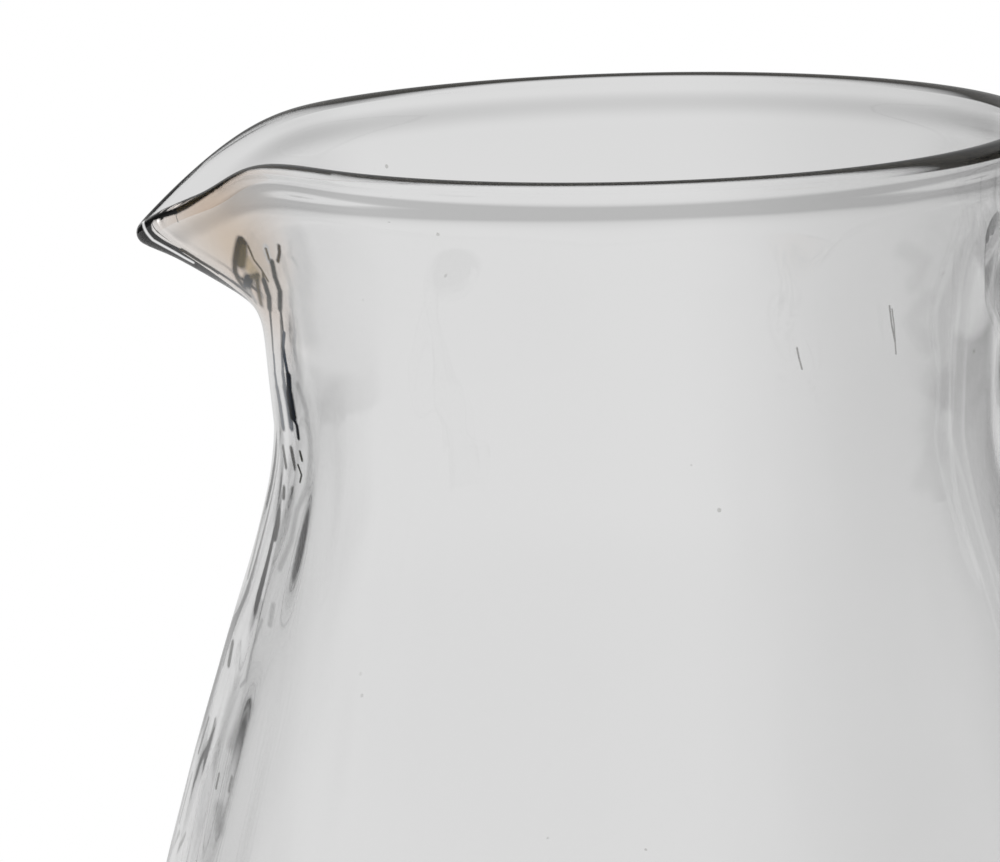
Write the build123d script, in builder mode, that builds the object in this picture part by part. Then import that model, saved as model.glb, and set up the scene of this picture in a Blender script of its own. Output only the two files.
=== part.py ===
"""A hand-blown glass water pitcher: a bell-shaped body with a waisted neck, a rounded
lip pulled out into a pouring spout, and an applied glass handle.

Millimetres, +Z up. The origin is the centre of the foot, on the surface the pitcher
stands on. The spout points along -X and the handle stands on the +X side.
"""

import os
from math import cos, exp, radians, sin, sqrt

from build123d import *

# Outside of the body
rim_height = 210.0  # top of the rounded lip
lip_radius = 50.0  # to the middle of the lip's bead
neck_drop = 36.5  # the narrowest place, below the top of the lip
neck_radius = 46.0
belly_height = 43.0  # the widest place
belly_radius = 71.5
neck_hold = 18.8  # how far the neck's upright line carries down into the curve
belly_hold = 66.0  # and the belly's upright line up into it

# Glass thickness
neck_wall = 2.2
belly_wall = 2.8
floor_thickness = 6.0
bead_radius = 1.85  # the lip, fire-polished to a round bead

# Foot: a flat standing ring round a pushed-up middle
foot_radius = 56.0
kick_radius = 42.0
kick_height = 3.5
corner_fullness = 0.6  # how square the turn from foot to belly is: 0 is cut off, 1 is square

# Throat and spout: the wall rises upright from the neck, bends, and runs out to the lip
bend_drop = 21.0  # the bend, below the top of the lip
spout_bend_lead = 1.1  # how far the bend under the spout stands out from the neck
spout_reach = 11.0  # the lip's middle, beyond the plain lip's
spout_drop = 9.9  # how far the lip hangs below the plain lip
spout_half_angle = 31.0  # the lip is pulled out over this much, each side
root_half_angle = 27.0  # and the throat's bend over this much
point_share = 0.2  # the share of the pull that belongs to a narrow point in the middle
point_width = 0.14  # that point's width, as a share of the spout's half angle

# Handle: an oval strap, seated on the throat and on the shoulder of the body
handle_top_drop = 23.0  # its upper seat, below the top of the lip
handle_hang = 95.0  # from the upper seat to the lower one
handle_gap = 31.0  # clear space for fingers, beside the neck
handle_width = 15.0  # across, along Y
handle_depth = 10.5  # through, towards the hand
handle_rise = 14.0  # how far its middle line aims above the upper seat
seat_lip = 4.4  # how much further the strap's section reaches, all round, where it meets the glass
seat_run = 0.22  # the share of its length over which it narrows from a seat

# Where the wall's sections stand, as shares of the spout's half angle
spout_stations = (0.07, 0.16, 0.28, 0.42, 0.56, 0.7, 0.85, 1.0, 1.15)
join_tolerance = 0.01  # how closely the spout's wall follows the round wall beside it
handle_stations = 15  # sections along the strap

neck_height = rim_height - neck_drop
bend_height = rim_height - bend_drop
handle_top_height = rim_height - handle_top_drop
handle_low_height = handle_top_height - handle_hang


def pull(turn, half_angle):
    """How far the glass is drawn into the spout at this turn, from 0 to 1."""
    t = abs(turn) / half_angle
    if t >= 1:
        return 0.0
    return (1 - point_share) * (1 - t * t) ** 2 + point_share * exp(-((t / point_width) ** 2))


def throat(turn):
    """The middle line of the throat's wall at this turn from the spout: where it leaves
    the neck, its bend, the middle of the lip's bead, and how tightly it hugs the bend."""
    at_bend, at_lip = pull(turn, root_half_angle), pull(turn, spout_half_angle)
    neck = Vector(neck_radius - neck_wall / 2, neck_height)
    bend = Vector(neck.X + at_bend * spout_bend_lead, bend_height)
    lip = Vector(lip_radius + at_lip * spout_reach, rim_height - bead_radius - at_lip * spout_drop)
    return neck, bend, lip, 0.5 + 0.5 * at_bend


def throat_side(turn, offset):
    """Bezier points of one side of the throat's wall, this far outside its middle line."""
    neck, bend, lip, hug = throat(turn)
    lean = (lip - bend).normalized()
    across_neck, across_lip = Vector(1, 0), Vector(lean.Y, -lean.X)
    start = neck + across_neck * offset
    corner = bend + (across_neck + across_lip) * (offset / (1 + across_neck.dot(across_lip)))
    end = lip - lean * sqrt(bead_radius**2 - offset**2) + across_lip * offset
    return [start, start + (corner - start) * hug, corner, end + (corner - end) * hug, end]


def meridian(turn):
    """The upright plane through the axis, at this turn from the spout. Its x is the
    distance from the axis and its y is the height."""
    c, s = cos(radians(turn)), sin(radians(turn))
    return Plane(origin=(0, 0, 0), x_dir=(-c, -s, 0), z_dir=(-s, c, 0))


def throat_section(turn):
    """The throat's wall and its bead, cut at this turn."""
    outer, inner = throat_side(turn, neck_wall / 2), throat_side(turn, -neck_wall / 2)
    bend, lip = throat(turn)[1:3]
    with BuildSketch(meridian(turn)) as section:
        with BuildLine():
            Bezier(*outer)
            ThreePointArc(outer[-1], lip + (lip - bend).normalized() * bead_radius, inner[-1])
            Bezier(*inner[::-1])
            Line(inner[0], outer[0])
        make_face()
    return section.sketch


def flank(neck, belly, height):
    """Bezier points of one side of the body's wall, from the belly up to the neck."""
    return [(belly, height), (belly, height + belly_hold), (neck, neck_height - neck_hold), (neck, neck_height)]


def turn_of_foot(foot, belly, low, high):
    """Bezier points of the round turn from the foot out to the belly."""
    out, up = (belly - foot) * corner_fullness, (high - low) * corner_fullness
    return [(foot, low), (foot + out, low), (belly, high - up), (belly, high)]


def body_section():
    """Half the body's wall, cut from the foot to the neck."""
    inner_belly, inner_neck = belly_radius - belly_wall, neck_radius - neck_wall
    inner_foot = foot_radius - belly_wall
    inner_kick = kick_height + floor_thickness
    with BuildSketch(Plane.XZ) as section:
        with BuildLine():
            Line((0, inner_kick), (0, kick_height))
            TangentArc((0, kick_height), (kick_radius, 0), tangent=(1, 0))
            Line((kick_radius, 0), (foot_radius, 0))
            Bezier(*turn_of_foot(foot_radius, belly_radius, 0, belly_height))
            Bezier(*flank(neck_radius, belly_radius, belly_height))
            Line((neck_radius, neck_height), (inner_neck, neck_height))
            Bezier(*flank(inner_neck, inner_belly, belly_height)[::-1])
            Bezier(*turn_of_foot(inner_foot, inner_belly, floor_thickness, belly_height)[::-1])
            TangentArc((0, inner_kick), (inner_foot, floor_thickness), tangent=(1, 0))
        make_face()
    return section.sketch


def filled_section():
    """Half of all that lies inside the body's and the plain throat's outer face."""
    throat_points = throat_side(180, neck_wall / 2)
    top = throat_points[-1].Y
    with BuildSketch(Plane.XZ) as section:
        with BuildLine():
            Line((0, top), (0, 0))
            Line((0, 0), (foot_radius, 0))
            Bezier(*turn_of_foot(foot_radius, belly_radius, 0, belly_height))
            Bezier(*flank(neck_radius, belly_radius, belly_height))
            Bezier(*throat_points)
            Line(throat_points[-1], (0, top))
        make_face()
    return section.sketch


def strap_line():
    """Bezier points of the strap's middle line, from inside the throat to inside the body."""
    depth = handle_depth  # it starts and ends this far inside, and is trimmed there
    reach = neck_radius + handle_gap + handle_depth / 2
    return [
        (neck_radius - depth, 0, handle_top_height),
        (neck_radius + 0.9 * handle_gap, 0, handle_top_height + handle_rise),
        (reach + handle_gap, 0, handle_top_height + 0.2 * handle_rise),
        (reach + 0.6 * handle_gap, 0, handle_low_height + 0.2 * handle_hang),
        (belly_radius, 0, handle_low_height + 0.08 * handle_hang),
        (belly_radius - 1.6 * depth, 0, handle_low_height - 0.04 * handle_hang),
    ]


with BuildPart() as body:
    revolve(body_section(), axis=Axis.Z)

with BuildPart() as spout:
    stations = [share * spout_half_angle for share in spout_stations]
    loft([throat_section(turn) for turn in [-t for t in stations[::-1]] + [0] + stations])

with BuildPart() as round_throat:
    revolve(throat_section(stations[-1]), axis=Axis.Z, revolution_arc=360 - 2 * stations[-1])

with BuildPart() as glass_body:
    add(body.part.fuse(spout.part, round_throat.part, tol=join_tolerance))
glass_body.part.label = "glass_body"

with BuildPart() as filled:
    revolve(filled_section(), axis=Axis.Z)

with BuildPart() as handle:
    strap = Bezier(*strap_line(), mode=Mode.PRIVATE)
    for i in range(handle_stations):
        share = i / (handle_stations - 1)
        to_seat = min(share, 1 - share) / seat_run
        spread = seat_lip * max(0.0, 1 - to_seat) ** 2
        with BuildSketch(Plane(origin=strap @ share, x_dir=(0, 1, 0), z_dir=strap % share)):
            Ellipse(handle_width / 2 + spread, handle_depth / 2 + spread)
    loft()
    add(filled.part, mode=Mode.SUBTRACT)
handle.part.label = "handle"

os.makedirs("parts", exist_ok=True)
for piece in (glass_body, handle):
    export_step(piece.part, f"parts/{piece.part.label}.step")
    print(piece.part.label, len(piece.part.solids()), round(piece.part.volume))
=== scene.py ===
"""A hand-blown glass water pitcher, seen as in the photograph: a close look at its lip,
spout and neck against white, with light from behind.

Metres in the shared frame: +Z up, the spout points along -X, the handle stands at +X, and
the camera looks along +Y. The pitcher's own sizes are in millimetres, as in the part's
source, and turns round it are in degrees from the spout, above 0 on the camera's side.
"""

from math import comb, cos, hypot, pi, radians, sin, tau

import bpy
import numpy as np
from mathutils import Matrix, Vector
from mathutils.bvhtree import BVHTree


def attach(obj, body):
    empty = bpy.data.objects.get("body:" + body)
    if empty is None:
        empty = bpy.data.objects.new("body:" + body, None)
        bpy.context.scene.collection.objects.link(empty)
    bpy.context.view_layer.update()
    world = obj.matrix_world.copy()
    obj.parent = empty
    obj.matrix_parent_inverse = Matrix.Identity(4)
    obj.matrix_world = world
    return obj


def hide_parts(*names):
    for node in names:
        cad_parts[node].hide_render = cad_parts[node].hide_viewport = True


mm = 0.001

# Outside of the body
rim_height = 209.998  # a hair below the part's
lip_radius = 50.0
neck_height = 173.5
neck_radius = 46.35
belly_height = 43.0
belly_radius = 71.47  # a hair inside the part's
neck_hold = 19.2  # how far the neck's upright line carries down into the curve
belly_hold = 69.5  # and the belly's upright line up into it

# Glass thickness
neck_wall = 2.2
belly_wall = 2.8
floor_thickness = 6.0
bead_radius = 1.6  # a little slimmer than the part's, as the photograph shows it

# Foot: a flat standing ring round a pushed-up middle
foot_radius = 56.0
kick_radius = 42.0
kick_height = 3.5
corner_fullness = 0.6  # how square the turn from foot to belly is: 0 is cut off, 1 is square

# Throat and spout
bend_height = 189.0
bend_hug = 0.5  # how tightly the plain throat hugs its bend. The spout's does so fully: 1
spout_bend_lead = 1.1
spout_reach = 11.75
spout_drop = 10.7
spout_half_angle = 42.6  # the lip is drawn out over this much, each side,
lip_bow = 1.106  # with this much roundness at the tip: 1 is a plain point, 2 is round
lip_fall = 3.55  # and fades this quickly towards its ends
root_half_angle = 27.0  # and the bend under it over this much
root_bow = 1.6
root_fall = 2.0
point_softness = 0.9  # degrees over which a pulled line is averaged,
softening_steps = 16  # in this many steps, over twice as much each way
swell_length = 3.1  # the lip's bead melts into the wall over about twice this much
near_sag = 1.08  # on the near side the lip hangs this much lower still,
near_sag_turn = 11.7  # at this turn from the spout,
near_sag_width = 6.5  # fading over about this many degrees
near_sag_start = (0, 6)  # and growing from nothing between these turns

# Unevenness of glass blown by hand: broad waves all over, and upright ripples, strongest at
# the spout. Each is a sum of waves. How many times one goes round the pitcher, and how long
# it is up the wall, is left to chance within these limits.
seed = 11
wave_count = 46
wave_size = 0.042
waves_round = (0, 20)
wave_lengths = (14, 70)
ripple_salt = 20  # sets the ripples' chances apart from the waves'
ripple_size = 0.03
ripples_round = (18, 52)
ripple_lengths = (24, 90)
ripple_turns = (95, 55)  # towards the spout they grow between these turns, on both sides,
ripple_at_back = 0.25  # from this share of their full size,
ripple_heights = (180, 168)  # and down from the throat they grow between these heights
ripple_in_throat = 0.15  # from this share
foot_fade = (14, 44)  # the foot is even, and the unevenness grows between these heights
lip_fade = (205, 191)  # and so is the lip
bump_room = (0, 2)  # a bump outwards grows with the room inside the part's widest place

# Points round the pitcher, closer together at the spout
close_reach = 36
close_steps = 160
wide_steps = 260

# Rows up the wall
kick_rows = 6
ring_rows = 3
foot_rows = 12
flank_rows = 52
floor_rows = 8
bead_steps = 12
throat_steps = 140  # the throat's middle line is worked out in fine steps,
low_throat_stride = 7  # every seventh of which makes a row,
high_throat_start = 100  # and from this one on
high_throat_stride = 2  # every second

# The dark edge painted along the bead as shade: how far it reaches in from the bead's outline, 0 for none
plain_reach = 0.98
near_spout_reach = -0.62  # in the spout it changes by this much,
near_spout_end = 28  # up to this turn
near_spout_fade = 20  # and less and less over about twice this many degrees more
far_spout_reach = -0.42
far_spout_end = 26
far_spout_fade = 18
near_back_reach = 0.15  # towards the handle it changes by this much,
near_back_turns = (112, 142)  # which sets in between these turns
far_back_reach = -0.3
far_back_turns = (105, 145)
near_bead_end = (125, 95)  # degrees round the bead from outside: here the near lip's edge ends,
far_bead_end = (55, 85)  # and here the far lip's begins, which shows on its inner side
tip_half_angle = 5.0  # at the tip, over this much, the edge shows further round the bead,
tip_share = 0.4  # at this share of its reach

# The camera, as the photograph's outline gives it
picture_width = 1000
picture_height = 862
rim_place = (634.2, 125.8)  # where the middle of the mouth lies in the picture, in pixels
pixel_size = 0.1256 * mm
rise = radians(7.855)  # how far above the mouth the camera stands
roll = radians(1.483)
camera_distance = 2.0
sensor_width = 36.0  # millimetres, as cameras have it
nearest_seen = 0.05
furthest_seen = 50

# The world's light, by degrees of elevation and degrees aside from the camera's heading
back_light = 0.715
back_half_width = 32.0
back_edge = 9.0  # over which the bright field gives way to the sides
high_back_light = 0.45
high_back_elevations = (-5, 6)
side_light = 0.08
front_light = 0.7
front_angles = (62, 92)
ceiling_light = 0.5
ceiling_elevations = (8, 24)
low_elevations = (-14, -12)  # below these the world is as bright as behind the pitcher

# Lamp, in metres and watts
lamp_place = (-0.6, -0.5, 1.9)
lamp_size = 1.6
lamp_power = 22

# Floor, in metres: it shows the pitcher's shadow in its middle and is plain white at its edge
floor_radius = 0.5
floor_corners = 128
floor_fade = (0.12, 0.46)
floor_grey = (0.25, 0.25, 0.25, 1)
middle_glow = 0.75

# Glass
refraction = 1.5
white = (1, 1, 1, 1)
black = (0, 0, 0, 1)
smoky_colour = (0.88, 0.88, 0.88, 1)
smoky_places = (0.004, 0.036)  # the smoke sets in between these metres from axis to handle,
smoky_heights = (0.140, 0.172)  # and up between these heights it grows to its full strength
smoky_below = 0.6  # from this share of it
speck_colour = (0.5, 0.5, 0.48, 1)
speck_scale = 95.0  # cells to a metre, each with room for one speck
speck_edge = (0.018, 0.034)  # where a speck ends, in cells from its middle
speck_choice = (0.55, 0.75)  # a cell whose chance is below these has none, above them a full one
# Painted reflection: a brown cast round the fold at the spout's root
spout_reflection_reach = 0.020  # metres from the fold at the spout's root
spout_reflection_colour = (0.66, 0.47, 0.32, 1)
# Painted shade: the colour that the glass takes at its edges where it is seen aslant
edge_shade_colour = (0.0014, 0.0012, 0.0008, 1)
edge_shade_range = (0.18, 0.36)  # the glass is painted dark as its slant times the edge's reach passes these
handle_shade_reach = 0.34  # of the painted dark edge on the handle

# Marks in the glass: the line that each follows in the picture, its half width in pixels,
# how soft its edge is as a share of that, and its colour where light comes through it.
# Most are painted shade, and those at the spout's root a painted brown reflection; the
# scratches and the crack are the glass's own. The colours below paint that shade and
# reflection, and smoke greys the real scratches and the crack as well.
black_shade = (0.0, 0.0, 0.0)
lip_shade_brown = (0.03, 0.022, 0.008)
brown = (0.05, 0.032, 0.004)
olive = (0.13, 0.095, 0.03)
tan = (0.62, 0.50, 0.33)
navy = (0.0, 0.005, 0.015)
slate = (0.03, 0.05, 0.08)
dark_shade = (0.05, 0.05, 0.04)
smoke = (0.45, 0.45, 0.44)
grey_shade = (0.74, 0.74, 0.74)
faint = (0.88, 0.88, 0.88)

# Painted brown reflection and painted shade in the fold at the spout's root
reflection_and_shade_at_spout_root = [
    ([(246, 262), (251, 269), (255, 274)], 7, 0.7, tan),
    ([(242, 244), (241.5, 253), (240, 263)], 6.2, 0.5, olive),
    ([(240, 239), (237, 249), (235, 261), (235, 271), (238, 279), (243, 287)], 3.3, 0.75, brown),
    ([(242, 239), (245, 243)], 2.4, 0.8, brown),
    ([(248, 246), (254, 260), (261, 269), (268, 281)], 1.2, 0.8, olive),
    ([(249, 279), (247, 283), (247, 288)], 4.8, 0.45, navy),
    ([(252, 277), (258, 275)], 2.4, 0.9, olive),
    ([(257, 278), (258, 288), (261, 304)], 3.0, 0.9, olive),
    ([(263, 274), (264, 282)], 1.6, 0.8, olive),
    ([(250, 292), (255, 301)], 2.4, 0.9, smoke),
]
# Painted shade: the dark line along the near lip
shade_along_lip = [
    ([(330, 173), (300, 169), (280, 167), (262, 166.5), (246, 169)], 1.9, 0.6, lip_shade_brown),
    ([(246, 169), (230, 177), (212, 189)], 2.3, 0.5, lip_shade_brown),
    ([(212, 189), (197, 199), (186, 206), (175, 211.5)], 2.8, 0.45, lip_shade_brown),
]
# Painted shade: the dark outlines round the tip and under it
shade_round_tip = [
    ([(175, 211.5), (163, 215), (153, 217.5), (149, 223), (150, 231), (156, 237.5)], 2.6, 0.4, black_shade),
    ([(156, 237.5), (170, 245), (182, 251)], 2.2, 0.5, black_shade),
    ([(182, 250), (201, 262), (237, 285.5), (250, 296)], 2.1, 0.5, lip_shade_brown),
    ([(138, 222), (137, 231), (140, 239), (147, 245.5)], 3.0, 0.4, black_shade),
    ([(147, 246.5), (160, 253), (178, 261.5), (196, 270), (216, 280.5)], 1.8, 0.5, black_shade),
    ([(216, 280), (233, 289), (247, 299)], 1.4, 0.5, black_shade),
]
crack_in_lip = [([(176, 215), (178, 222)], 0.6, 0.5, smoke)]
# Painted shade beside the fold, with a few strokes of its painted brown reflection
shade_and_brown_beside_fold = [
    ([(266, 247), (267, 253), (270, 261)], 2.8, 1.0, grey_shade),
    ([(266, 249), (269, 259)], 1.4, 0.9, olive),
    ([(279, 246), (279.5, 253), (278, 261)], 2.0, 0.7, brown),
    ([(293, 258), (297, 264), (300, 272)], 1.9, 0.9, smoke),
    ([(301, 283), (302, 290)], 1.6, 1.0, grey_shade),
    ([(303, 302), (304, 310)], 2.0, 1.0, grey_shade),
    ([(295, 311), (297, 322)], 1.4, 1.0, grey_shade),
    ([(303, 322), (306, 336)], 1.6, 1.0, grey_shade),
    ([(296, 236), (304, 270), (299, 304), (307, 336)], 10, 1.0, faint),
]
# Painted shade: the left one of two dark streaks down the neck
left_shade_streak_on_neck = [
    ([(264, 281), (269, 297), (269.5, 309)], 2.8, 0.5, dark_shade),
    ([(270, 312), (272, 335), (273, 351)], 1.1, 0.6, dark_shade),
    ([(273.5, 354), (275, 374)], 1.1, 0.5, slate),
    ([(275, 374), (277, 388)], 1.4, 0.5, slate),
    ([(277, 388), (280, 405), (283, 427)], 2.2, 0.5, slate),
    ([(283, 447), (286, 467)], 1.4, 0.5, dark_shade),
    ([(284, 488), (283.5, 497)], 1.7, 0.6, dark_shade),
    ([(279, 512), (278, 524), (275, 538)], 2.0, 0.5, dark_shade),
]
# Painted shade: the right one of the two dark streaks down the neck
right_shade_streak_on_neck = [
    ([(272, 262), (275, 277), (280, 291), (280, 309)], 2.8, 0.6, dark_shade),
    ([(281, 313), (283, 330)], 1.1, 0.6, dark_shade),
    ([(284, 333), (283, 346), (285, 360), (288, 376)], 1.8, 0.4, slate),
    ([(288.5, 376), (289.5, 395)], 3.0, 0.35, navy),
    ([(289.5, 395), (293, 416)], 4.0, 0.35, navy),
    ([(293, 416), (297, 426), (298.5, 438)], 1.7, 0.5, navy),
    ([(300, 452), (302, 460)], 1.3, 0.5, dark_shade),
    ([(298, 465), (301.5, 475), (300, 482)], 0.9, 0.5, dark_shade),
]
# Painted shade: soft grey lines beside the streaks
soft_shade_beside_streaks = [
    ([(298, 385), (306, 410), (310, 440), (310, 462), (307, 488)], 2.4, 0.9, grey_shade),
    ([(307, 488), (297, 510), (291, 540), (280, 568)], 2.4, 0.9, grey_shade),
]
# Painted shade: dark slits and grey patches on the flank
shade_on_flank = [
    ([(270, 487), (261, 523), (248, 577)], 1.0, 0.6, smoke),
    ([(228.5, 642), (223.5, 663)], 1.4, 0.5, dark_shade),
    ([(208.5, 718), (203, 737), (198.5, 752)], 1.0, 0.5, dark_shade),
    ([(192, 774), (179.5, 822)], 1.0, 0.6, smoke),
    ([(176, 831), (168, 859)], 1.0, 0.6, smoke),
    ([(248, 706), (241, 724), (232, 744)], 5.5, 0.9, grey_shade),
    ([(219, 808), (219, 828)], 5.0, 0.9, grey_shade),
    ([(261, 602), (257, 616)], 2.0, 0.8, grey_shade),
    ([(273, 606), (270, 624)], 2.4, 0.8, grey_shade),
    ([(262, 620), (252, 650), (246, 680), (241, 686)], 1.2, 0.7, grey_shade),
    ([(219, 774), (216, 788)], 1.0, 0.6, smoke),
]
scratches_at_right = [
    ([(797, 348), (799, 358), (802, 369)], 0.9, 0.9, smoke),
    ([(889.5, 306), (892, 326), (895, 341)], 0.9, 0.9, smoke),
    ([(892, 309), (894, 324), (896, 354)], 0.7, 0.9, smoke),
]
# Painted shade: faint grey mottling at the right
mottled_shade_at_right = [
    ([(904, 250), (924, 262), (914, 284)], 8, 1.0, faint),
    ([(926, 298), (911, 320), (928, 346)], 8, 1.0, faint),
    ([(946, 380), (931, 424), (938, 452), (924, 480)], 10, 1.0, faint),
    ([(936, 440), (929, 470), (940, 496)], 7, 1.0, faint),
]
marks = (
    reflection_and_shade_at_spout_root
    + shade_along_lip
    + shade_round_tip
    + crack_in_lip
    + shade_and_brown_beside_fold
    + left_shade_streak_on_neck
    + right_shade_streak_on_neck
    + soft_shade_beside_streaks
    + shade_on_flank
    + scratches_at_right
    + mottled_shade_at_right
)
softening = 0.8  # how far a fully soft edge spreads, each way, as a share of the half width
mark_margin = 10  # pixels beyond a region within which a mark may still touch it
depth_share = 0.45  # depth counts this much when a mark's width is measured,
widest = 2.6  # and no mark is made wider than this many times

# The bright line between the two dark ones round the tip, in the same terms
gleam_line = [(143.5, 222), (144, 227), (147, 233), (153, 240), (170, 249.5), (184, 257.5), (193, 262.5)]
gleam_half_width = 1.2
gleam_softness = 0.8
gleam_strength = 0.7

fold_place = (236, 246)  # in the picture: the middle of the painted brown reflection

# Regions of the picture, each with its own marks and painted shade: left, top, right and bottom, in
# pixels
regions = {
    "glass_of_the_lip": (120, 150, 350, 236),
    "glass_of_the_spout": (120, 236, 350, 314),
    "glass_of_the_neck": (225, 314, 350, 486),
    "glass_of_the_flank": (140, 486, 350, 880),
    "scratched_and_shaded_glass": (785, 236, 960, 504),
}
gleaming = ("glass_of_the_lip", "glass_of_the_spout")
marked_depth = 1.0 * mm  # no face further than this behind the pitcher's axis has marks


def ramp(value, start, end):
    """0 up to start, 1 from end on, and a straight change between them. Start may be the
    higher one: then this is 1 below end and 0 above start."""
    return np.clip((value - start) / (end - start), 0, 1)


def bell(value, width):
    """1 at zero, about a third at this width, and nearly nothing at twice the width."""
    return np.exp(-((value / width) ** 2))


def pull(turn, half_angle, bow, fall):
    """How far the glass is drawn into the spout at each turn, from 0 to 1, averaged over a
    few degrees so that it has no corner."""
    pulled = 0
    steps = np.linspace(-2, 2, softening_steps + 1) * point_softness
    weights = np.exp(-0.5 * (steps / point_softness) ** 2)
    for step, weight in zip(steps, weights / weights.sum()):
        share = np.minimum(np.abs(turn + step) / half_angle, 1.0)
        pulled = pulled + weight * (1 - share**bow) ** fall
    return pulled


def places_round():
    """The turns at which the pitcher has points, from -180 to 180 degrees."""
    near = np.linspace(-close_reach, close_reach, close_steps + 1)
    far = np.linspace(close_reach, 360 - close_reach, wide_steps + 1)[1:-1]
    both = np.concatenate([near, far])
    return np.where(both > 180, both - 360, both)


turns = places_round()


def bezier(points, count, skip_first=True):
    """Places along a Bezier curve: count rows of (radius, height) at every turn."""
    shares = np.linspace(0, 1, count + 1)[int(skip_first):]
    degree = len(points) - 1
    place = 0
    for i, (radius, height) in enumerate(points):
        weight = comb(degree, i) * shares**i * (1 - shares) ** (degree - i)
        point = np.array(np.broadcast_arrays(radius, height, turns)[:2], float)
        place = place + weight[:, None, None] * point
    return place


def dome(middle_height, edge_radius, edge_height, count):
    """A shallow dome, level in the middle: rows of (radius, height) from the middle out."""
    sag = middle_height - edge_height
    curve = (edge_radius**2 + sag**2) / (2 * sag)
    radius = np.linspace(0, edge_radius, count + 1)
    height = middle_height - curve + np.sqrt(curve**2 - radius**2)
    rows = np.stack([radius, height], axis=1)
    return np.repeat(rows[:, :, None], len(turns), axis=2)


def flank(neck, belly):
    """Bezier points of one side of the wall, from the belly up to the neck."""
    return [
        (belly, belly_height),
        (belly, belly_height + belly_hold),
        (neck, neck_height - neck_hold),
        (neck, neck_height),
    ]


def turn_of_foot(foot, belly, low):
    """Bezier points of the round turn from the foot out to the belly."""
    out = (belly - foot) * corner_fullness
    up = (belly_height - low) * corner_fullness
    return [(foot, low), (foot + out, low), (belly, belly_height - up), (belly, belly_height)]


def throat_middle():
    """Fine rows of the throat's middle line at every turn, from the neck up, and where it
    ends, in the middle of the bead."""
    at_bend = pull(turns, root_half_angle, root_bow, root_fall)
    at_lip = pull(turns, spout_half_angle, lip_bow, lip_fall)
    sag = near_sag * bell(turns - near_sag_turn, near_sag_width) * ramp(turns, *near_sag_start)
    lip_height = rim_height - bead_radius - at_lip * spout_drop - sag
    neck = np.array([neck_radius - neck_wall / 2 + 0 * turns, neck_height + 0 * turns])
    bend = np.array([neck[0] + at_bend * spout_bend_lead, bend_height + 0 * turns])
    lip = np.array([lip_radius + at_lip * spout_reach, lip_height])
    hug = bend_hug + (1 - bend_hug) * at_bend
    points = [neck, neck + (bend - neck) * hug, bend, lip + (bend - lip) * hug, lip]
    return bezier(points, throat_steps, skip_first=False), lip


def throat_lines():
    """The throat's wall, from the neck up: its outer side, the bead's round end and its
    inner side, at every turn. The wall swells into the bead."""
    middle, lip = throat_middle()
    steps = np.linalg.norm(np.diff(middle, axis=0), axis=1)
    below_lip = np.concatenate([np.cumsum(steps[::-1], axis=0)[::-1], np.zeros((1, len(turns)))])
    along = np.gradient(middle, axis=0)
    along = along / np.linalg.norm(along, axis=1)[:, None, :]
    outward = np.stack([along[:, 1], -along[:, 0]], axis=1)
    half_wall = neck_wall / 2 + (bead_radius - neck_wall / 2) * bell(below_lip, swell_length)
    low = np.arange(0, high_throat_start, low_throat_stride)
    high = np.arange(high_throat_start, throat_steps + 1, high_throat_stride)
    kept = np.concatenate([low, high])
    outer = (middle + outward * half_wall[:, None, :])[kept]
    inner = (middle - outward * half_wall[:, None, :])[kept]
    lean, across = along[-1], outward[-1]
    bead = []
    for angle in np.linspace(0, pi, bead_steps + 1)[1:-1]:
        bead.append(lip + (across * cos(angle) + lean * sin(angle)) * bead_radius)
    return outer[1:], np.array(bead), inner[::-1]


def wave(height, salt, around_range, length_range):
    """A smooth unevenness that closes on itself round the pitcher, about one unit high."""
    chance = np.random.default_rng(seed + salt)
    total = 0
    for _ in range(wave_count):
        around = chance.integers(*around_range)
        up = tau / chance.uniform(*length_range)
        phase, rise_phase = chance.uniform(0, tau, 2)
        total = total + np.cos(around * np.radians(turns) + phase) * np.cos(up * height + rise_phase)
    return total / np.sqrt(wave_count / 4)


def unevenness(height, salt):
    """How far a side of the wall stands out at each of its heights and turns."""
    waves = wave(height, salt, waves_round, wave_lengths) * wave_size
    ripples = wave(height, salt + ripple_salt, ripples_round, ripple_lengths)
    beside = np.maximum(ramp(np.abs(turns), *ripple_turns), ripple_at_back)
    below_throat = np.maximum(ramp(height, *ripple_heights), ripple_in_throat)
    return waves + ripples * ripple_size * beside * below_throat


def bead_edge_shade(outer, bead, inner):
    """How far the painted dark edge reaches over the glass at every point. Away from the bead it
    doesn't reach at all."""
    near_spout = bell(np.clip(turns - near_spout_end, 0, None), near_spout_fade) * (turns > 0)
    far_spout = bell(np.clip(-turns - far_spout_end, 0, None), far_spout_fade) * (turns <= 0)
    reach = plain_reach + near_spout_reach * near_spout + far_spout_reach * far_spout
    reach = reach + near_back_reach * ramp(turns, *near_back_turns)
    reach = reach + far_back_reach * ramp(-turns, *far_back_turns)
    angle = np.linspace(0, 180, len(bead) + 2)[1:-1, None]
    seen = np.where(turns > 0, ramp(angle, *near_bead_end), ramp(angle, *far_bead_end))
    on_bead = np.clip(seen + tip_share * bell(turns, tip_half_angle), 0, 1) * reach
    return np.concatenate([np.zeros_like(outer[:, 0]), on_bead, np.zeros_like(inner[:, 0])])


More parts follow.
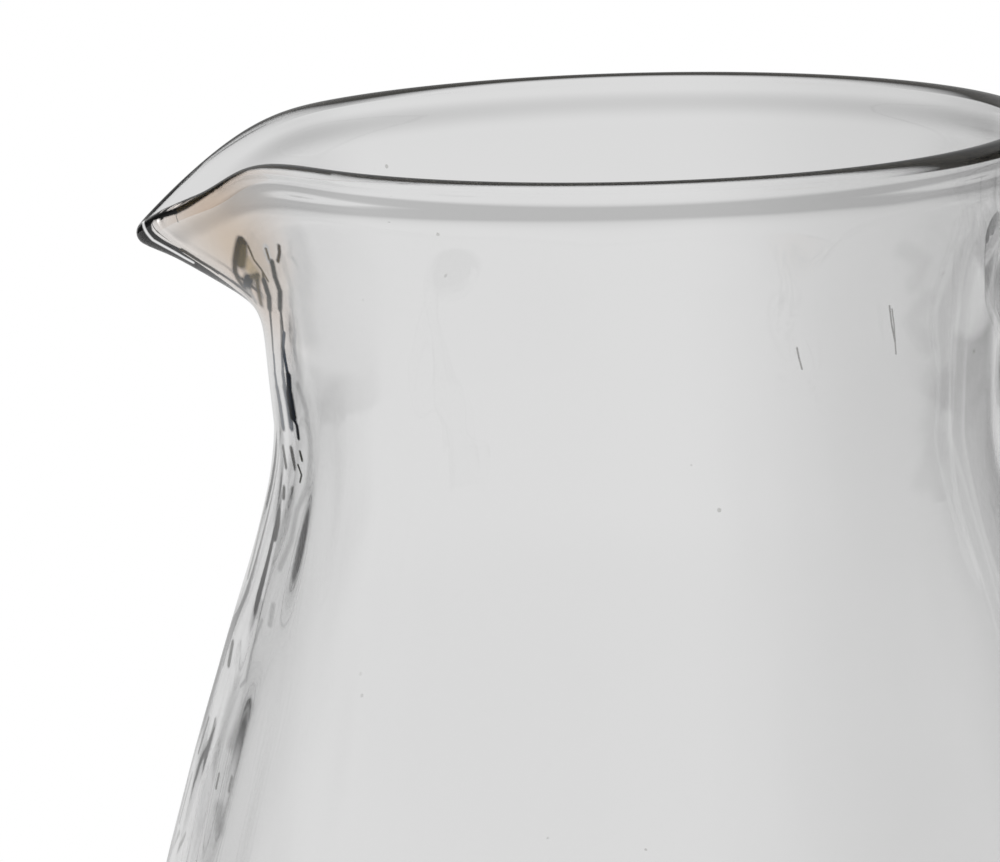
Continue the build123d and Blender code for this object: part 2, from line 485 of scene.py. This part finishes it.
def body_rows():
    """(radius, height) of the whole wall, from the middle of the foot up, over the lip and
    down inside. Also gives the painted dark edge's reach, and how many rows the outer side
    and the bead have."""
    outer_throat, bead, inner_throat = throat_lines()
    inner_neck = neck_radius - neck_wall
    inner_belly = belly_radius - belly_wall
    inner_foot = foot_radius - belly_wall
    inner_kick = kick_height + floor_thickness
    outside = [
        dome(kick_height, kick_radius, 0, kick_rows),
        bezier([(kick_radius, 0), (foot_radius, 0)], ring_rows),
        bezier(turn_of_foot(foot_radius, belly_radius, 0), foot_rows),
        bezier(flank(neck_radius, belly_radius), flank_rows),
        outer_throat,
    ]
    inside = [
        inner_throat,
        bezier(flank(inner_neck, inner_belly)[::-1], flank_rows),
        bezier(turn_of_foot(inner_foot, inner_belly, floor_thickness)[::-1], foot_rows),
        dome(inner_kick, inner_foot, floor_thickness, floor_rows)[::-1][1:],
    ]
    outer, inner = np.concatenate(outside), np.concatenate(inside)
    for salt, rows in enumerate((outer, inner)):
        radius, height = rows[:, 0], rows[:, 1]
        bump = unevenness(height, salt)
        if rows is outer:
            bump = np.where(bump > 0, bump * ramp(belly_radius - radius, *bump_room), bump)
        radius += bump * (ramp(height, *foot_fade) * ramp(height, *lip_fade))
    rows = np.concatenate([outer, bead, inner])
    return rows, bead_edge_shade(outer, bead, inner), len(outer) + len(bead)


def mesh_object(name, points, faces):
    mesh = bpy.data.meshes.new(name)
    mesh.from_pydata(points, [], faces)
    mesh.validate()
    mesh.update()
    mesh.polygons.foreach_set("use_smooth", [True] * len(mesh.polygons))
    made = bpy.data.objects.new(name, mesh)
    bpy.context.scene.collection.objects.link(made)
    return made


def skin_faces(rings, count):
    """Faces between rings of points, closed by a pole at each end, one turn after another."""
    low_pole, high_pole = rings * count, rings * count + 1
    last = (rings - 1) * count
    faces = []
    for j in range(count):
        k = (j + 1) % count
        faces.append((low_pole, k, j))
        for ring in range(0, last, count):
            faces.append((ring + j, ring + k, ring + count + k, ring + count + j))
        faces.append((last + j, last + k, high_pole))
    return faces


def build_body():
    """One closed skin of the vessel. Also gives the number of faces at each turn, and how
    many of them belong to the outer side and the bead."""
    rows, reach, outer_rings = body_rows()
    radius, height = rows[1:-1, 0], rows[1:-1, 1]
    x = -radius * np.cos(np.radians(turns))
    y = -radius * np.sin(np.radians(turns))
    ring_points = np.stack([x, y, height], axis=2).reshape(-1, 3)
    poles = [(0, 0, rows[0, 1, 0]), (0, 0, rows[-1, 1, 0])]
    points = np.concatenate([ring_points, poles]) * mm
    rings = len(radius)
    made = mesh_object("blown_glass_body", points.tolist(), skin_faces(rings, len(turns)))
    attribute = made.data.attributes.new("edge_shade_reach", "FLOAT", "POINT")
    reach = np.concatenate([reach[1:-1].ravel(), [0.0, 0.0]])
    attribute.data.foreach_set("value", reach.astype(np.float32))
    return made, rings + 1, outer_rings


def add_node(tree, kind, inputs=None, **settings):
    """A new node with its settings and its inputs, each a value or another node's output."""
    node = tree.nodes.new(kind)
    for key, value in settings.items():
        setattr(node, key, value)
    for key, value in (inputs or {}).items():
        if isinstance(value, bpy.types.NodeSocket):
            tree.links.new(value, node.inputs[key])
        else:
            node.inputs[key].default_value = value
    return node


def math_node(tree, operation, *values):
    node = add_node(tree, "ShaderNodeMath", dict(enumerate(values)), operation=operation)
    return node.outputs[0]


def vector_node(tree, operation, inputs, result="Vector"):
    node = add_node(tree, "ShaderNodeVectorMath", inputs, operation=operation)
    return node.outputs[result]


def smooth_range(tree, value, start, end, low=0.0, high=1.0):
    """low before start, high after end, and a smooth change between them."""
    inputs = {"Value": value, "From Min": start, "From Max": end, "To Min": low, "To Max": high}
    node = add_node(tree, "ShaderNodeMapRange", inputs, interpolation_type="SMOOTHSTEP")
    return node.outputs["Result"]


def mix_number(tree, share, first, second):
    node = add_node(tree, "ShaderNodeMix", {0: share, 2: first, 3: second}, data_type="FLOAT")
    return node.outputs[0]


def mix_colour(tree, share, first, second):
    node = add_node(tree, "ShaderNodeMix", {0: share, 6: first, 7: second}, data_type="RGBA")
    return node.outputs[2]


def light_world():
    """White behind the camera's own rays. What the glass gathers is a bright field behind
    it, dimmer higher up, dark sides that draw its edges, and pale light from in front,
    from overhead and from far below."""
    world = bpy.data.worlds.new("studio")
    bpy.context.scene.world = world
    world.use_nodes = True
    tree = world.node_tree
    tree.nodes.clear()
    direction = add_node(tree, "ShaderNodeTexCoord").outputs["Generated"]
    x, y, z = add_node(tree, "ShaderNodeSeparateXYZ", {0: direction}).outputs
    elevation = math_node(tree, "MULTIPLY", math_node(tree, "ARCSINE", z), 180 / pi)
    azimuth = math_node(tree, "MULTIPLY", math_node(tree, "ARCTAN2", x, y), 180 / pi)
    aside = math_node(tree, "ABSOLUTE", azimuth)
    field = smooth_range(tree, elevation, *high_back_elevations, back_light, high_back_light)
    back_end = back_half_width + back_edge
    behind = smooth_range(tree, aside, back_half_width, back_end, field, side_light)
    before = smooth_range(tree, aside, *front_angles, 0.0, front_light - side_light)
    level = math_node(tree, "ADD", behind, before)
    overhead = smooth_range(tree, elevation, *ceiling_elevations)
    below = smooth_range(tree, elevation, *low_elevations, 1.0, 0.0)
    upper = mix_number(tree, overhead, level, ceiling_light)
    whole = mix_number(tree, below, upper, back_light)
    to_camera = add_node(tree, "ShaderNodeLightPath").outputs["Is Camera Ray"]
    shown = mix_number(tree, to_camera, whole, 1.0)
    background = add_node(tree, "ShaderNodeBackground", {"Color": white, "Strength": shown})
    add_node(tree, "ShaderNodeOutputWorld", {"Surface": background.outputs[0]})


def build_camera():
    """Stands before the pitcher, a little above its mouth, and is aimed so that the middle
    of the mouth comes to its place in the picture. Gives its place and its axes."""
    data = bpy.data.cameras.new("camera")
    data.sensor_width = sensor_width
    data.lens = data.sensor_width * camera_distance / (picture_width * pixel_size)
    data.clip_start = nearest_seen
    data.clip_end = furthest_seen
    camera = bpy.data.objects.new("camera", data)
    bpy.context.scene.collection.objects.link(camera)
    mouth = Vector((0, 0, rim_height * mm))
    sight = Vector((0, cos(rise), -sin(rise)))
    level, upward = Vector((1, 0, 0)), Vector((0, sin(rise), cos(rise)))
    right = level * cos(roll) - upward * sin(roll)
    up = upward * cos(roll) + level * sin(roll)
    aside = (picture_width / 2 - rim_place[0]) * pixel_size
    down = (picture_height / 2 - rim_place[1]) * pixel_size
    target = mouth + right * aside - up * down
    camera.location = mouth - sight * camera_distance
    back = (camera.location - target).normalized()
    right = up.cross(back).normalized()
    up = back.cross(right)
    camera.rotation_mode = "QUATERNION"
    camera.rotation_quaternion = Matrix((right, up, back)).transposed().to_quaternion()
    bpy.context.scene.camera = camera
    return camera.location.copy(), (right, up, back)


def sight_line(x, y):
    """The direction in which the camera sees this place of the picture."""
    aside = (x - picture_width / 2) * pixel_size
    down = (y - picture_height / 2) * pixel_size
    return (eye_right * aside - eye_up * down - eye_back * camera_distance).normalized()


def picture_place(point):
    """Where the camera sees this point, in pixels."""
    ray = point - eye
    depth = -ray.dot(eye_back) / camera_distance * pixel_size
    return picture_width / 2 + ray.dot(eye_right) / depth, picture_height / 2 - ray.dot(eye_up) / depth


def squash(place):
    """A place with its depth reduced, so that a mark on glass seen aslant stays narrow."""
    return Vector((place.x, place.y * depth_share, place.z))


def on_glass(x, y):
    """The place on the near side of the glass that shows at this place of the picture, and how
    much wider than seen a mark has to be there. Beside the glass, the place in the upright
    plane through its axis."""
    sight = sight_line(x, y)
    hit, normal = skin.ray_cast(eye, sight)[:2]
    if hit is None:
        return squash(eye - sight * (eye.y / sight.y)), 1.0
    slant = abs(normal.x / normal.y) if normal.y else widest
    return squash(hit), min(hypot(1, depth_share * slant), widest)


def distance_to_line(tree, place, start, end):
    """How far each place is from a straight line between two points."""
    along = end - start
    offset = vector_node(tree, "SUBTRACT", {0: place, 1: start})
    reached = vector_node(tree, "DOT_PRODUCT", {0: offset, 1: along}, "Value")
    share = math_node(tree, "MULTIPLY", reached, 1 / along.length_squared)
    share = math_node(tree, "MAXIMUM", share, 0.0)
    share = math_node(tree, "MINIMUM", share, 1.0)
    step = vector_node(tree, "SCALE", {0: along, "Scale": share})
    gap = vector_node(tree, "SUBTRACT", {0: offset, 1: step})
    return vector_node(tree, "LENGTH", {0: gap}, "Value")


def stroke(tree, flat, line, half_width, softness):
    """1 within the half width of a line drawn in the picture, 0 beyond it."""
    points, spreads = zip(*[on_glass(*spot) for spot in line])
    nearest = None
    for start, end in zip(points, points[1:]):
        gap = distance_to_line(tree, flat, start, end)
        nearest = gap if nearest is None else math_node(tree, "MINIMUM", nearest, gap)
    edge = half_width * pixel_size * sum(spreads) / len(spreads)
    inside = edge * (1 - softness * softening)
    outside = edge * (1 + softness * softening)
    return smooth_range(tree, nearest, inside, outside, 1.0, 0.0)


def touches(line, half_width, region):
    """Whether a mark comes near a region of the picture."""
    left, top, right, bottom = region
    across, down = zip(*line)
    margin = 2 * half_width + mark_margin
    beside = max(across) < left - margin or min(across) > right + margin
    beyond = max(down) < top - margin or min(down) > bottom + margin
    return not beside and not beyond


def draw_marks(tree, flat, colour, region):
    """Lays the marks that touch this region of the picture over the colour: painted shade,
    painted reflection and the real scratches. Light that crosses a skin takes only the root
    of its colour, so the marks' colours are squared."""
    for line, half_width, softness, shade in marks:
        if touches(line, half_width, region):
            painted_share = stroke(tree, flat, line, half_width, softness)
            shade_and_mark_colour = [level * level for level in shade]
            colour = mix_colour(tree, painted_share, colour, (*shade_and_mark_colour, 1))
    return colour


def smoky_glass(tree, place):
    """The colour of clear glass, a little smoky towards the handle."""
    x, _, z = add_node(tree, "ShaderNodeSeparateXYZ", {0: place}).outputs
    smoky = smooth_range(tree, x, *smoky_places)
    higher = smooth_range(tree, z, *smoky_heights, smoky_below, 1.0)
    smoky = math_node(tree, "MULTIPLY", smoky, higher)
    return mix_colour(tree, smoky, white, smoky_colour)


def add_specks(tree, place, colour):
    """Small grey specks, in some cells of a cell pattern."""
    cells = add_node(tree, "ShaderNodeTexVoronoi", {"Vector": place, "Scale": speck_scale})
    inside = smooth_range(tree, cells.outputs["Distance"], *speck_edge, 1.0, 0.0)
    chance = add_node(tree, "ShaderNodeSeparateColor", {0: cells.outputs["Color"]}).outputs[0]
    speck = math_node(tree, "MULTIPLY", inside, smooth_range(tree, chance, *speck_choice))
    return mix_colour(tree, speck, colour, speck_colour)


def paint_spout_reflection(tree, place, colour):
    """A painted brown reflection that fades away from the fold at the spout's root."""
    fold = skin.ray_cast(eye, sight_line(*fold_place))[0]
    away = vector_node(tree, "DISTANCE", {0: place, 1: fold}, "Value")
    tinted = smooth_range(tree, away, 0.0, spout_reflection_reach, 1.0, 0.0)
    return mix_colour(tree, tinted, colour, spout_reflection_colour)


def add_gleam(tree, flat, material, shader):
    """A faint glow along the gleam's line, which doesn't light the scene."""
    gleam = stroke(tree, flat, gleam_line, gleam_half_width, gleam_softness)
    strength = math_node(tree, "MULTIPLY", gleam, gleam_strength)
    shader.inputs["Emission Color"].default_value = white
    tree.links.new(strength, shader.inputs["Emission Strength"])
    material.cycles.emission_sampling = "NONE"


def paint_edge_shade(tree, colour, even_reach):
    """Paints shade into the glass's colour where it is seen aslant, as a dark edge. The edge's
    reach is the same all over, or the mesh's own at each point where that is None."""
    slant = add_node(tree, "ShaderNodeLayerWeight", {"Blend": 0.5}).outputs["Facing"]
    reach = even_reach
    if reach is None:
        reach = add_node(tree, "ShaderNodeAttribute", attribute_name="edge_shade_reach").outputs["Fac"]
    edge = smooth_range(tree, math_node(tree, "MULTIPLY", slant, reach), *edge_shade_range)
    return mix_colour(tree, edge, colour, edge_shade_colour)


def glass_material(name, region=None, even_reach=None):
    """Clear glass with specks and painted dark edges. One that is made for a region of the
    picture has the spout's painted brown reflection and the marks too, most of them painted shade."""
    material = bpy.data.materials.new(name)
    material.use_nodes = True
    tree = material.node_tree
    shader = tree.nodes["Principled BSDF"]
    shader.inputs["Transmission Weight"].default_value = 1.0
    shader.inputs["Roughness"].default_value = 0.0
    shader.inputs["IOR"].default_value = refraction
    place = add_node(tree, "ShaderNodeTexCoord").outputs["Object"]
    colour = add_specks(tree, place, smoky_glass(tree, place))
    if region:
        colour = paint_spout_reflection(tree, place, colour)
        flat = vector_node(tree, "MULTIPLY", {0: place, 1: (1, depth_share, 1)})
        colour = draw_marks(tree, flat, colour, region)
        if name in gleaming:
            add_gleam(tree, flat, material, shader)
    tree.links.new(paint_edge_shade(tree, colour, even_reach), shader.inputs["Base Color"])
    return material


def region_of(face):
    """Which region's glass a face is made of. Only the near side's outer skin has marks, painted shade
    among them.
    """
    if face.index % faces_per_turn > outer_faces or face.center.y > marked_depth:
        return 0
    x, y = picture_place(face.center)
    for number, (left, top, right, bottom) in enumerate(regions.values(), 1):
        if left <= x < right and top <= y < bottom:
            return number
    return 0


def build_floor():
    """White where the camera sees it plainly, and grey enough in its middle for a shadow."""
    bpy.ops.mesh.primitive_circle_add(
        vertices=floor_corners, radius=floor_radius, fill_type="NGON", location=(0, 0, 0)
    )
    floor = bpy.context.object
    floor.name = "floor"
    material = bpy.data.materials.new("pale_floor")
    material.use_nodes = True
    tree = material.node_tree
    tree.nodes.clear()
    place = add_node(tree, "ShaderNodeTexCoord").outputs["Object"]
    away = vector_node(tree, "LENGTH", {0: place}, "Value")
    fade = smooth_range(tree, away, *floor_fade)
    seen = add_node(tree, "ShaderNodeLightPath").outputs["Is Camera Ray"]
    level = mix_number(tree, seen, back_light, 1.0)
    glowing = smooth_range(tree, away, *floor_fade, middle_glow, 1.0)
    glow = add_node(tree, "ShaderNodeEmission", {"Strength": math_node(tree, "MULTIPLY", glowing, level)})
    matt = add_node(tree, "ShaderNodeBsdfDiffuse", {"Color": floor_grey})
    plain = add_node(tree, "ShaderNodeBsdfDiffuse", {"Color": black})
    shade = add_node(tree, "ShaderNodeMixShader", {0: fade, 1: matt.outputs[0], 2: plain.outputs[0]})
    both = add_node(tree, "ShaderNodeAddShader", {0: glow.outputs[0], 1: shade.outputs[0]})
    add_node(tree, "ShaderNodeOutputMaterial", {"Surface": both.outputs[0]})
    floor.data.materials.append(material)


def build_lamp():
    """A soft lamp overhead, which casts the shadow and isn't seen in the glass."""
    light = bpy.data.lights.new("soft_lamp", "AREA")
    light.shape = "DISK"
    light.size = lamp_size
    light.energy = lamp_power
    lamp = bpy.data.objects.new("soft_lamp", light)
    bpy.context.scene.collection.objects.link(lamp)
    lamp.location = lamp_place
    lamp.rotation_euler = (-lamp.location).to_track_quat("-Z", "Y").to_euler()
    lamp.visible_glossy = False
    lamp.visible_transmission = False


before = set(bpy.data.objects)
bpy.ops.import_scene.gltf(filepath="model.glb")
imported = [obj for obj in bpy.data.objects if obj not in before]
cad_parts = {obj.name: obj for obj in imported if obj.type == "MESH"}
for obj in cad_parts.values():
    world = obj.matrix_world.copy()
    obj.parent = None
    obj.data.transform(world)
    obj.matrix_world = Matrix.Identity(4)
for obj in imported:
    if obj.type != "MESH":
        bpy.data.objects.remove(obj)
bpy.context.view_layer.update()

light_world()
eye, (eye_right, eye_up, eye_back) = build_camera()

body, faces_per_turn, outer_faces = build_body()
skin = BVHTree.FromPolygons([v.co for v in body.data.vertices], [p.vertices for p in body.data.polygons])
body.data.materials.append(glass_material("blown_glass"))
for name, region in regions.items():
    body.data.materials.append(glass_material(name, region))
for face in body.data.polygons:
    face.material_index = region_of(face)
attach(body, "root")
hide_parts("glass_body")

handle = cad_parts["handle"]
handle.data.materials.clear()
handle.data.materials.append(glass_material("handle_glass", even_reach=handle_shade_reach))

build_floor()
build_lamp()

bpy.context.scene.view_settings.view_transform = "Standard"
